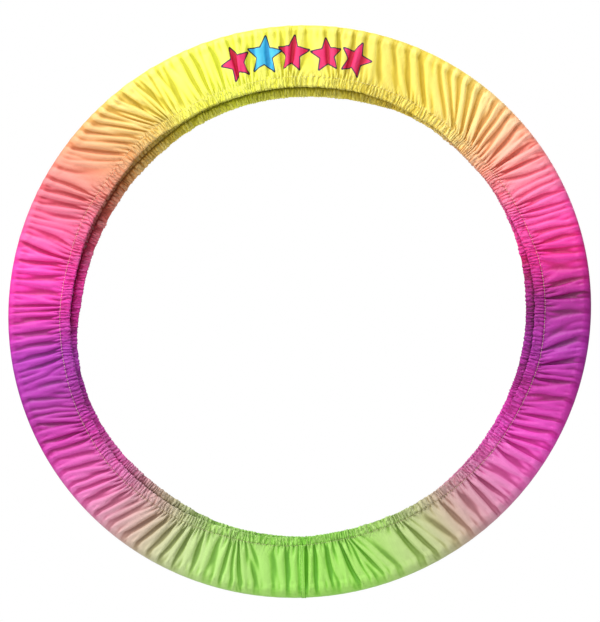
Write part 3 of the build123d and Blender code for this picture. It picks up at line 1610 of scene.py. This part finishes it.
@dataclass
class CoverHalf:
    """The cloth of one half of the cover, from the rim's outermost line to a hem.

    Attributes:
        panel: the settled cloth.
        finish: its material.
        hollow_over: width of cloth that a hollow's depth is measured against.
        crease_over: width over which the cloth's curvature is measured.
        crease: painted shade depth that the material gets for a curvature of 1.
        crease_most: the most of that depth.
        gathered_reach: distance from the hem in which the sharp creases fade.
    """

    panel: GatheredPanel
    finish: Finish
    hollow_over: float = 45.0
    crease_over: float = 7.0
    crease: float = 4.5
    crease_most: float = 1.6
    gathered_reach: float = 9.0

    def build(self) -> bpy.types.Object:
        """Make the piece and hand it to the frame.

        Returns:
            The piece.
        """
        panel, strip = self.panel, self.panel.strip
        side = panel.side
        points = np.concatenate((panel.points, panel.points[:1]), axis=0)
        name = f"{side.label}_cover_cloth"
        piece = GridMesh(name, points, flipped=side is Side.FRONT).build()
        self.smooth_rim(piece, points)
        along = np.append(strip.along, strip.sizes.strip_length)
        grid_along, grid_across = np.meshgrid(along, panel.across, indexing="ij")
        cloth_attributes(piece, grid_along, grid_across, strip.sizes.strip_length)
        if side is Side.FRONT:
            from_top = grid_along - strip.top
            for key, stars in (("star_rose", ROSE_STARS), ("star_blue", BLUE_STARS)):
                edges = [star.edge(from_top, grid_across) for star in stars]
                store(piece, key, np.minimum.reduce(edges).ravel())
        store(piece, "hollow_mm", self.hollows().ravel())
        near = np.exp(-(panel.across[-1] - panel.across) / self.gathered_reach)
        store(piece, "gathered", np.tile(near, len(points)))
        self.finish.dress(piece)
        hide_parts("cover_rim", f"{side.label}_panel")
        bend_with_hem(piece, strip.sizes, side, np.tile(panel.radius, len(points)))
        LOG.info("%s: %d points", name, len(piece.data.vertices))
        return piece

    def hollows(self) -> np.ndarray:
        """How far each point lies below the cloth around it, plus more at sharp bends: the painted shade's
        depth.

        Returns:
            The depth at each column and row, with the first column again at the end.
        """
        panel = self.panel
        points = panel.points.astype(float)
        away = np.hypot(points[..., 0], points[..., 2]) - panel.strip.sizes.centre
        height = np.where(away > 0, np.hypot(away, points[..., 1]), np.abs(points[..., 1]))
        length = panel.strip.sizes.strip_length
        painted_shade = smooth_round(height, length / self.hollow_over) - height
        smooth = smooth_round(height, length / self.crease_over)
        bend = (np.roll(smooth, 1, 0) + np.roll(smooth, -1, 0) - 2 * smooth) / panel.strip.step**2
        painted_shade = painted_shade + np.clip(self.crease * bend, 0, self.crease_most)
        return np.concatenate((painted_shade, painted_shade[:1]), axis=0)

    def smooth_rim(self, piece: bpy.types.Object, points: np.ndarray) -> None:
        """Make the two halves shade as one cloth along the line where they meet.

        Args:
            piece: the half's object.
            points: its points, as (columns, rows, 3).
        """
        round_ring = np.gradient(points, axis=0)
        round_ring[0] = round_ring[-1] = points[1] - points[-2]
        down = np.gradient(points, axis=1)
        normals = unit(np.cross(round_ring, down)) * -self.panel.side.value
        clock = np.arctan2(points[:, 0, 0], points[:, 0, 2])
        outermost = ring_points(clock, np.ones_like(clock), 0 * clock)
        agree = np.sign((normals[:, 1] * outermost).sum(axis=-1).mean())
        normals *= agree
        normals[:, 0] = outermost
        piece.data.normals_split_custom_set_from_vertices(normals.reshape(-1, 3))


def smooth_round(values: np.ndarray, waves: float) -> np.ndarray:
    """Keep only the broad changes round the ring.

    Args:
        values: a value for each column, as the first axis.
        waves: waves round the ring at which the changes are faded out.

    Returns:
        The smoothed values.
    """
    number = np.abs(np.fft.fftfreq(len(values), 1 / len(values)))
    keep = np.exp(-((number / waves) ** 2)).reshape(-1, *[1] * (values.ndim - 1))
    return np.real(np.fft.ifft(np.fft.fft(values, axis=0) * keep, axis=0))


def cloth_attributes(
    piece: bpy.types.Object, along: np.ndarray, across: np.ndarray, length: float
) -> None:
    """Store the cloth's own coordinates and its place in the print.

    Args:
        piece: the mesh object.
        along: cloth coordinate round the ring at each point.
        across: cloth coordinate across the strip at each point.
        length: the strip's length.
    """
    place = np.stack((along.ravel(), across.ravel(), 0 * along.ravel()), axis=-1)
    store(piece, "cloth_mm", place)
    store(piece, "print_run", (along / length).ravel())


def squared(wave: np.ndarray) -> np.ndarray:
    """A sine or cosine pushed out towards 1, which turns a circle into a rounded bar."""
    return np.sign(wave) * np.abs(wave) ** 0.35


@dataclass
class HemChannel:
    """A sewn channel of doubled cloth, its row of thread and the elastic inside it.

    Attributes:
        panel: the settled cloth that it is sewn to.
        wardrobe: the finishes.
        width: from the row of thread to the inner edge.
        turned: cloth of the flat strip beyond the channel's two layers.
        half_thickness: half the channel's thickness.
        pinched: half its thickness at the thread.
        swells_over: distance from the thread over which it gets its thickness.
        hangs_over: distance over which it comes down to its own plane.
        gathers_over: distance over which its gathers come in.
        depth: how far its middle lies below the hem's outer face.
        gather: height of the gathers.
        lobed: shape of the gathers, as in FoldFamily.
        seated: how far the gathers stand off the elastic, in their own heights.
        slant: unevenness of the gathers' lean.
        sway: unevenness of their bend.
        lean: phase by which they lean over the whole section.
        bend: phase by which they bend.
        bends: number of bends over the section.
        vigour: unevenness of their height, as a share.
        crumple: small creases that cross them.
        crumpled: height of those creases.
        crossing: phase by which they turn over the section.
        coarse: broader creases.
        pressed: share that is left of a hollow pressed against the elastic.
        back_share: height of the gathers on the face towards the other hem, as a share.
        edge_share: their height on the inner edge, as a share.
        sideways: how far a gather leans over, as a share of the gathers' height.
        rolled: how far the channel rolls inwards at the bottom.
        roll_at: middle of the rolled stretch, degrees clockwise from the top.
        roll_spread: its half width in degrees.
        gap_shade: painted shade on the back hem where it faces the gap between the hems.
        gap_reach: distance from the thread in which that fades.
        front_rows: rows of points on each face.
        edge_rows: rows round the inner edge.
        elastic_width: width of the elastic.
        elastic_inset: from the channel's inner edge to the elastic.
        elastic_every: columns of cloth from one of the elastic's columns to the next.
        elastic_waves: waves round the ring that the elastic still follows.
    """

    panel: GatheredPanel
    wardrobe: Wardrobe
    width: float = 14.5
    turned: float = 3.0
    half_thickness: float = 1.5
    pinched: float = 0.25
    swells_over: float = 3.0
    hangs_over: float = 1.6
    gathers_over: float = 2.0
    depth: float = 2.2
    gather: float = 0.8
    lobed: float = 0.8
    seated: float = 1.15
    slant: Wander = Wander(1.0, 40)
    sway: Wander = Wander(1.0, 25)
    lean: float = 2.4
    bend: float = 0.9
    bends: float = 1.3
    vigour: Wander = Wander(0.30, 22)
    crumple: Wander = Wander(1.0, 5)
    crumpled: float = 0.22
    crossing: float = 9.0
    coarse: Wander = Wander(0.35, 14)
    pressed: float = 0.05
    back_share: float = 0.8
    edge_share: float = 0.6
    sideways: float = 0.25
    rolled: float = 3.0
    roll_at: float = 182.0
    roll_spread: float = 26.0
    gap_shade: float = 2.0
    gap_reach: float = 5.0
    front_rows: int = 9
    edge_rows: int = 5
    elastic_width: float = 11.6
    elastic_inset: float = 1.2
    elastic_every: int = 4
    elastic_waves: int = 24

    def __post_init__(self) -> None:
        """Find the line along which the channel hangs."""
        self.side = self.panel.side
        self.strip = self.panel.strip
        self.start = self.panel.points[:, -1].astype(float)
        start = between(self.start)
        self.dense = ClothStrip(self.strip.sizes, 2 * self.strip.columns)
        self.radius = np.hypot(start[:, 0], start[:, 2])
        self.clock = np.unwrap(np.arctan2(start[:, 0], start[:, 2]))
        self.out = start[:, 1] * self.side.value
        self.middle = self.strip.sizes.face - self.depth

    @property
    def flat_width(self) -> float:
        """Width of the flat strip that the channel is folded from."""
        return 2 * self.width + self.turned

    def section(self) -> tuple[np.ndarray, np.ndarray, np.ndarray, np.ndarray]:
        """The channel's section before it is gathered.

        Returns:
            For each row: how far inwards from the thread, how far out from the channel's
            middle, and the way out of the section as two numbers.
        """
        turn_radius = self.half_thickness
        straight = self.width - turn_radius
        inwards = np.linspace(0, straight, self.front_rows)
        swell = np.sqrt(np.clip(inwards / self.swells_over, 0, 1))
        thick = self.pinched + (self.half_thickness - self.pinched) * swell
        angle = np.linspace(0, math.pi, self.edge_rows + 2)[1:-1]
        rows_in = np.concatenate((inwards, straight + turn_radius * np.sin(angle), inwards[::-1]))
        rows_out = np.concatenate((thick, turn_radius * np.cos(angle), -thick[::-1]))
        normal_in = np.concatenate((0 * inwards, np.sin(angle), 0 * inwards))
        normal_out = np.concatenate((0 * inwards + 1, np.cos(angle), 0 * inwards - 1))
        return rows_in, rows_out, normal_in, normal_out

    def shown(self, clock: np.ndarray) -> np.ndarray:
        """Share of the channel's width that shows, less at the bottom where it rolls inwards."""
        away = (np.degrees(clock) % 360 - self.roll_at) / self.roll_spread
        return (1 - self.rolled * np.exp(-0.5 * away**2) / self.width)[:, None]

    def gathers(self, path: np.ndarray) -> tuple[np.ndarray, np.ndarray]:
        """The gathers over the whole channel.

        Args:
            path: how far round the section each row is, from 0 to 1.

        Returns:
            How far the cloth stands off the section, and the gathers' phase.
        """
        rng = np.random.default_rng(self.panel.plan.seed + SEED + 100)
        slant, sway = (self.dense.uneven(rng, one)[:, None] for one in (self.slant, self.sway))
        phase = np.append(self.panel.fine_phase, self.panel.fine_phase[0] + self.turns())
        phase = between(phase)[:-2, None] + self.lean * path * slant
        phase = phase + self.bend * np.sin(TURN * path * self.bends + slant) * sway
        strength = self.gather * (1 + self.dense.uneven(rng, self.vigour)[:, None])
        crumple = [self.dense.uneven(rng, self.crumple)[:, None] for _ in range(2)]
        turn = self.crossing * path
        creases = crumple[0] * np.cos(turn) + crumple[1] * np.sin(turn)
        coarse = self.dense.uneven(rng, self.coarse)[:, None] * np.sin(math.pi * path)
        coarse = coarse + self.crumpled * creases
        puff = strength * (fold_profile(phase, self.lobed) + self.seated) + coarse
        return np.maximum(puff, self.pressed * puff), phase

    def channel(self) -> bpy.types.Object:
        """Make the gathered channel.

        Returns:
            The piece.
        """
        strip = self.dense
        section_in, rows_out, normal_in, normal_out = (row[None, :] for row in self.section())
        path = np.linspace(0, 1, section_in.shape[1])[None, :]
        puff, phase = self.gathers(path)
        grown = np.clip(section_in / self.gathers_over, 0, 1)
        puff = puff * np.where(rows_out > -self.pinched, 1, self.back_share) * grown
        hang = 1 - np.exp(-section_in / self.hangs_over)
        middle = (self.out[:, None] - self.pinched) * (1 - hang) + self.middle * hang
        out = middle + rows_out + puff * normal_out
        rows_in = section_in * self.shown(strip.clock)
        radius = self.radius[:, None] - rows_in - self.edge_share * puff * normal_in
        sideways = self.sideways * self.gather * np.sin(2 * phase) * grown
        clock = self.clock[:, None] + sideways / radius
        out[:, 0] = self.out
        radius[:, 0] = self.radius
        clock[:, 0] = self.clock
        points = ring_points(clock, radius, out * self.side.value)
        points = np.concatenate((points, points[:1]), axis=0)
        name = f"{self.side.label}_hem_channel"
        piece = GridMesh(name, points, flipped=self.side is Side.FRONT).build()
        along = np.append(strip.along, strip.sizes.strip_length)
        across = self.panel.across[-1] + path[0] * self.flat_width
        grids = np.meshgrid(along, across, indexing="ij")
        cloth_attributes(piece, *grids, strip.sizes.strip_length)
        # painted shade: darker in the gathers' hollows, and on the back hem's face towards the gap between
        # the hems
        painted_shade = puff.mean() - np.concatenate((puff, puff[:1]), axis=0)
        if self.side is Side.BACK:
            fade = np.exp(-((section_in / self.gap_reach) ** 2))
            painted_shade = painted_shade + self.gap_shade * (rows_out < 0) * fade
        store(piece, "hollow_mm", painted_shade.ravel())
        store(piece, "gathered", np.ones(painted_shade.size))
        self.wardrobe.hem_cloth.dress(piece)
        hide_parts(f"{self.side.label}_hem")
        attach(piece, f"{self.side.label}_hem")
        LOG.info("%s: %d points", name, len(piece.data.vertices))
        return piece

    def thread(self) -> bpy.types.Object:
        """Sew the row of thread that closes the channel.

        Returns:
            The row.
        """
        strip = self.strip
        line = np.concatenate((self.start, self.start[:1]), axis=0)
        distance = np.append(strip.along, strip.sizes.strip_length)
        outward = np.zeros_like(line)
        outward[:, 1] = self.side.value
        line = line + 0.15 * outward
        row = ThreadRow(f"{self.side.label}_hem_thread")
        piece = row.build(distance, line, outward, strip.sizes.strip_length)
        self.wardrobe.thread.dress(piece)
        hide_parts(f"{self.side.label}_hem_stitching")
        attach(piece, f"{self.side.label}_hem")
        LOG.info("%s: %d points", piece.name, len(piece.data.vertices))
        return piece

    def band(self, name: str, replaced: str, layer: float, first: int, last: int) -> bpy.types.Object:
        """Make a length of elastic in the channel.

        Args:
            name: name of the piece.
            replaced: the CAD node that it stands for.
            layer: -1 for the band, 1 for the end laid over it.
            first: the elastic's first column.
            last: one past its last column.

        Returns:
            The length of elastic.
        """
        thickness, width = self.strip.sizes.elastic_layer, self.elastic_width
        inner = self.width - self.elastic_inset - width
        smooth = smooth_round(self.radius[::2], self.elastic_waves)
        columns = np.arange(first, last) * self.elastic_every % self.strip.columns
        angle = np.linspace(0, TURN, 20, endpoint=False)
        in_rows = inner + width / 2 + width / 2 * squared(np.cos(angle))
        out_rows = thickness / 2 * (-layer + squared(np.sin(angle)))
        clock = self.strip.clock[columns][:, None]
        radius = smooth[columns][:, None] - in_rows[None, :] * self.shown(self.strip.clock[columns])
        out = (self.middle + out_rows)[None, :]
        points = ring_points(clock, radius, out * self.side.value)
        closed = last - first == self.strip.columns // self.elastic_every
        piece = GridMesh(name, points, closed_columns=closed, closed_rows=True).build()
        along = clock * radius
        place = np.stack(
            (along.ravel(), np.tile(in_rows, len(columns)), np.zeros(along.size)), axis=-1
        )
        store(piece, "cloth_mm", place)
        self.wardrobe.elastic.dress(piece)
        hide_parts(replaced)
        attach(piece, f"{self.side.label}_hem")
        LOG.info("%s: %d points", name, len(piece.data.vertices))
        return piece

    def turns(self) -> float:
        """Phase of the fine gathers after one turn round the ring."""
        phase = self.panel.fine_phase
        return TURN * round((phase[-1] - phase[0] + phase[1] - phase[0]) / TURN)

    def build(self) -> None:
        """Make the elastic, the channel and its thread."""
        label = self.side.label
        whole = self.strip.columns // self.elastic_every
        self.band(f"{label}_elastic_band", f"{label}_elastic", -1, 0, whole)
        self.band(f"{label}_elastic_end", f"{label}_elastic_lap", 1, -2, 3)
        self.channel()
        self.thread()


@dataclass
class EndSeam:
    """The felled seam that joins the strip's two ends, with its two rows of thread.

    Attributes:
        panels: the settled cloth of both halves.
        wardrobe: the finishes.
        width: width of the seam where it shows.
        height: how far it stands off the cloth.
        turned: cloth turned under at each edge; not used.
        across_share: its length, as a share of the panels' width, for the hems that hang
            outwards at the bottom; not used.
        columns: columns of points across its width.
        edge_from: where its edges begin, as a share of the way out from its middle.
        edge_shade: painted shade along its edges.
        sunk: how far it is pressed into the cloth.
        edge_dip: how far its edges dip, as a share of its height.
        thread_dip: how far the straight row sinks in, and half the width of that hollow.
        lip: height of the raised edge, its place as a share, and half its width.
        thread_at: place of the straight row, along the cloth.
        zigzag_at: place of the zigzag row.
        zigzag: half the zigzag's width.
        zigzag_pitch: from one of its points to the next.
        thread_points: points of each row, before its stitches are made.
    """

    panels: dict[Side, GatheredPanel]
    wardrobe: Wardrobe
    width: float = 6.5
    height: float = 0.6
    turned: float = 1.8
    across_share: float = 0.94
    columns: int = 13
    edge_from: float = 0.8
    edge_shade: float = 2.0
    sunk: float = 0.1
    edge_dip: float = 0.4
    thread_dip: tuple[float, float] = (0.3, 0.6)
    lip: tuple[float, float, float] = (0.25, -0.7, 0.2)
    thread_at: float = -0.6
    zigzag_at: float = 1.9
    zigzag: float = 1.5
    zigzag_pitch: float = 3.4
    thread_points: int = 400

    def profile(self, part: np.ndarray) -> np.ndarray:
        """How far the seam stands off the cloth.

        Args:
            part: places across its width, from -1 to 1.

        Returns:
            The height at each place.
        """
        flat = self.height * np.clip(1.4 * (1 - np.abs(part) ** 6), -self.edge_dip, 1.0) - self.sunk
        dip, reach = self.thread_dip
        dip = dip * np.exp(-(((part * self.width / 2 - self.thread_at) / reach) ** 2))
        lip, lip_at, reach = self.lip
        return flat - dip + lip * np.exp(-(((part - lip_at) / reach) ** 2))

    def half(self, side: Side) -> bpy.types.Object:
        """Make the seam's strip on one half of the cover.

        Args:
            side: the half.

        Returns:
            The strip.
        """
        panel = self.panels[side]
        outward = panel.outward()
        part = np.linspace(-1, 1, self.columns)
        columns = []
        for place, rise in zip(part * self.width / 2, self.profile(part)):
            line = panel.at(place, panel.points)
            out = unit(panel.at(place, outward))
            columns.append(line + out * rise)
        points = np.stack(columns)
        name = f"{side.label}_end_seam_strip"
        piece = GridMesh(name, points, flipped=side is Side.FRONT).build()
        along, across = np.meshgrid(part * self.width / 2, panel.across, indexing="ij")
        cloth_attributes(piece, along, across, panel.strip.sizes.strip_length)
        # painted shade: a dark line along each edge of the seam
        edge = self.edge_shade * (np.abs(part) > self.edge_from)[:, None] + 0 * along
        store(piece, "hollow_mm", edge.ravel())
        self.wardrobe.hem_cloth.dress(piece)
        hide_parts("end_seam")
        bend_with_hem(piece, panel.strip.sizes, side, np.tile(panel.radius, len(part)))
        LOG.info("%s: %d points", name, len(piece.data.vertices))
        return piece

    def thread(self, side: Side) -> bpy.types.Object:
        """Sew one half of the seam's rows of thread.

        Args:
            side: the half.

        Returns:
            Both rows as one object.
        """
        panel = self.panels[side]
        straight = self.line(panel, np.full(self.thread_points, self.thread_at))
        across = np.linspace(0, panel.across[-1], self.thread_points)
        swing = np.abs((across / self.zigzag_pitch) % 2 - 1) * 2 - 1
        crossed = self.line(panel, self.zigzag_at + self.zigzag * swing)
        parts = []
        for line, outward in (straight, crossed):
            steps = np.linalg.norm(np.diff(line, axis=0), axis=-1)
            distance = np.append(0, np.cumsum(steps))
            row = ThreadRow(f"{side.label}_end_seam_thread", pitch=3.0, stitch=2.7)
            parts.append(row.build(distance, line, outward, float(distance[-1])))
        piece = joined(parts)
        self.wardrobe.seam_thread.dress(piece)
        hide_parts("end_seam_stitching")
        bend_with_hem(piece, panel.strip.sizes, side)
        LOG.info("%s: %d points", piece.name, len(piece.data.vertices))
        return piece

    def line(self, panel: GatheredPanel, place: np.ndarray) -> tuple[np.ndarray, np.ndarray]:
        """A line of thread that runs across the cloth on top of the seam.

        Args:
            panel: the half of the cover.
            place: the line's cloth coordinate along the ring, at even steps across.

        Returns:
            Its points and the way out of the cloth at each of them.
        """
        across = np.linspace(0, panel.across[-1], len(place))
        outward = panel.outward()
        points, ways = [], []
        for along, distance in zip(place, across):
            row = min(distance / panel.row_step, panel.rows - 1.001)
            low, part = int(row), row % 1
            for rows, found in ((panel.points, points), (outward, ways)):
                line = panel.at(along, rows[:, low : low + 2])
                found.append((1 - part) * line[0] + part * line[1])
        ways = unit(np.array(ways))
        return np.array(points) + ways * (self.height - 0.3), ways

    def build(self) -> None:
        """Make both halves of the seam."""
        for side in Side:
            self.half(side)
            self.thread(side)


@dataclass
class HoopInside:
    """The plastic hoop, whose CAD pieces keep their shape and get their finishes.

    Attributes:
        wardrobe: the finishes.
    """

    wardrobe: Wardrobe

    def build(self) -> None:
        """Dress the CAD pieces."""
        for name, finish in (
            ("hoop_tube", self.wardrobe.tube),
            ("joint_plug", self.wardrobe.plug),
            ("joint_rivets", self.wardrobe.rivet),
        ):
            finish.dress(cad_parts[name])
            LOG.info("%s: dressed", name)


# ---------------------------------------------------------------- studio


@dataclass(frozen=True)
class SoftBox:
    """An area light.

    Attributes:
        name: its name.
        place: where it stands, in metres.
        size: its width and height, in metres.
        watts: its power.
    """

    name: str
    place: tuple[float, float, float]
    size: tuple[float, float]
    watts: float

    def build(self) -> None:
        """Set the light up, facing the hoop."""
        data = bpy.data.lights.new(self.name, "AREA")
        data.shape = "RECTANGLE"
        data.size, data.size_y = self.size
        data.energy = self.watts
        light = bpy.data.objects.new(self.name, data)
        light.location = self.place
        light.rotation_euler = (-Vector(self.place)).to_track_quat("-Z", "Y").to_euler()
        bpy.context.scene.collection.objects.link(light)


@dataclass
class Studio:
    """Camera, lights, floor and surroundings.

    Attributes:
        wardrobe: the finishes.
        azimuth: the camera's angle round the hoop, in degrees to the right of the front.
        elevation: its angle above the hoop, in degrees.
        distance: its distance from the hoop's middle, in metres.
        view_width: width of the view at the hoop, in metres.
        aim: how far the camera is moved right and up, in metres.
        frame_shape: width and height of the view's frame.
        floor_height: height of the floor, in metres.
        floor_reach: half the floor's width.
        ambient: strength of the room's light from the front.
        ambient_behind: the same from behind.
        lights: the lamps.
    """

    wardrobe: Wardrobe
    azimuth: float = 5.3
    elevation: float = -12.2
    distance: float = 6.0
    view_width: float = 0.861
    aim: tuple[float, float, float] = (0.003, -0.005, 0.0)
    frame_shape: tuple[int, int] = (600, 622)
    floor_height: float = -1.5
    floor_reach: float = 6000.0
    ambient: float = 0.40
    ambient_behind: float = 0.17
    lights: tuple[SoftBox, ...] = (
        SoftBox("key_above", (-0.6, -1.5, 2.4), (1.2, 0.7), 68.0),
        SoftBox("side_left", (-2.4, -1.3, 0.5), (0.6, 1.4), 24.0),
        SoftBox("front_low", (0.3, -3.0, -0.7), (1.6, 1.0), 18.0),
        SoftBox("back_fill", (0.6, 2.2, 1.6), (1.6, 1.2), 28.0),
    )

    def camera(self) -> None:
        """Set up the camera, a little below the hoop's middle and to its right."""
        turn, rise = math.radians(self.azimuth), math.radians(self.elevation)
        flat = math.cos(rise) * self.distance
        place = Vector((math.sin(turn) * flat, -math.cos(turn) * flat, math.sin(rise) * self.distance))
        data = bpy.data.cameras.new("camera")
        view_height = self.view_width * self.frame_shape[1] / self.frame_shape[0]
        data.lens = data.sensor_width / 2 / (view_height / 2 / self.distance)
        camera = bpy.data.objects.new("camera", data)
        facing = (-place).to_track_quat("-Z", "Y")
        camera.location = place + facing @ Vector(self.aim)
        camera.rotation_euler = facing.to_euler()
        bpy.context.scene.collection.objects.link(camera)
        bpy.context.scene.camera = camera

    def surroundings(self) -> None:
        """A white room that lights evenly, brighter to look at than to be lit by."""
        world = bpy.data.worlds.new("white_room")
        world.use_nodes = True
        tree = world.node_tree
        tree.nodes.clear()
        path = add(tree, "LightPath")
        way = add(tree, "SeparateXYZ", {0: add(tree, "TexCoord").outputs["Generated"]})
        front = add(
            tree,
            "MapRange",
            {0: way.outputs["Y"], 1: -0.3, 2: 0.5, 3: self.ambient, 4: self.ambient_behind},
        )
        strength = add(tree, "Mix", {0: path.outputs["Is Camera Ray"], 2: front.outputs[0], 3: 1.0})
        sockets = {"Color": linear("FFFFFF"), "Strength": strength.outputs[0]}
        room = add(tree, "Background", sockets)
        add(tree, "OutputWorld", {"Surface": room.outputs[0]})
        bpy.context.scene.world = world

    def floor(self) -> None:
        """Lay the floor, well below the hanging hoop."""
        ticks = np.linspace(-self.floor_reach, self.floor_reach, 13)
        flat = np.stack(np.meshgrid(ticks, ticks, [self.floor_height / MM], indexing="ij"), axis=-1)
        piece = GridMesh("studio_floor", flat[:, :, 0]).build()
        self.wardrobe.floor.dress(piece)

    def build(self) -> None:
        """Set everything up."""
        self.camera()
        self.surroundings()
        self.floor()
        for light in self.lights:
            light.build()
        view = bpy.context.scene.view_settings
        view.view_transform = "Standard"
        view.look = "None"


def main() -> None:
    """Build the hoop in its cover and the studio round it."""
    logging.basicConfig(level=logging.INFO, format="%(name)s %(message)s")
    wardrobe = Wardrobe()
    Studio(wardrobe).build()
    strip = ClothStrip(RingSizes.from_frame())
    steps = SETTLE_STEPS
    panels = {
        side: GatheredPanel(strip, side, plan, settle_steps=steps).build()
        for side, plan in ((Side.FRONT, FRONT_PLAN), (Side.BACK, BACK_PLAN))
    }
    finishes = {Side.FRONT: wardrobe.front_cloth, Side.BACK: wardrobe.back_cloth}
    for side, panel in panels.items():
        CoverHalf(panel, finishes[side]).build()
        HemChannel(panel, wardrobe).build()
    EndSeam(panels, wardrobe).build()
    HoopInside(wardrobe).build()


if __name__ == "__main__":
    main()
